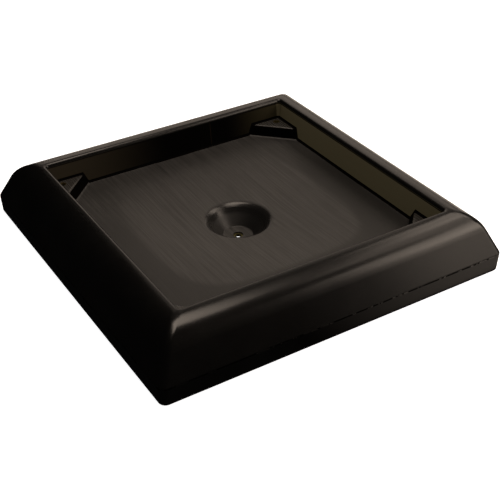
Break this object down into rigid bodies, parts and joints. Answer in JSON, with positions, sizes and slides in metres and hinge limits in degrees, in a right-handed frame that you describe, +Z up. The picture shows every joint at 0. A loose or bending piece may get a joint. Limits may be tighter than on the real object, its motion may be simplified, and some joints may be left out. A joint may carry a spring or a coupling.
{
  "type": "weighted display base",
  "caption": "Square weighted plastic floor base with a recessed tray, drilled corner pads and a central anchor well.",
  "frame": {"origin": "on the ground under the centre of the base", "axes": "+Z up; the four skirts face -Y (front), +X (right), +Y (back) and -X (left)"},
  "size_m": [0.6628, 0.6628, 0.11],
  "materials": {
    "cover_plastic": "satin black moulded plastic with fine streaks",
    "pan_plastic": "satin black moulded plastic",
    "ballast": "cast concrete",
    "nut_metal": "yellow-passivated steel",
    "bush_metal": "dull brass",
    "zinc_steel": "zinc-plated",
    "foot_rubber": "matt black"
  },
  "bodies": {
    "root": {"top_cover": "cover_plastic", "bottom_pan": "pan_plastic", "anchor_bush": "bush_metal", "pan_screws": "zinc_steel", "ballast_bar_front": "ballast", "ballast_bar_right": "ballast", "ballast_bar_back": "ballast", "ballast_bar_left": "ballast", "pad_nut_front_left": "nut_metal", "pad_nut_front_right": "nut_metal", "pad_nut_back_right": "nut_metal", "pad_nut_back_left": "nut_metal", "rubber_foot_front_left": "foot_rubber", "rubber_foot_front_right": "foot_rubber", "rubber_foot_back_right": "foot_rubber", "rubber_foot_back_left": "foot_rubber"}
  },
  "joints": []
}
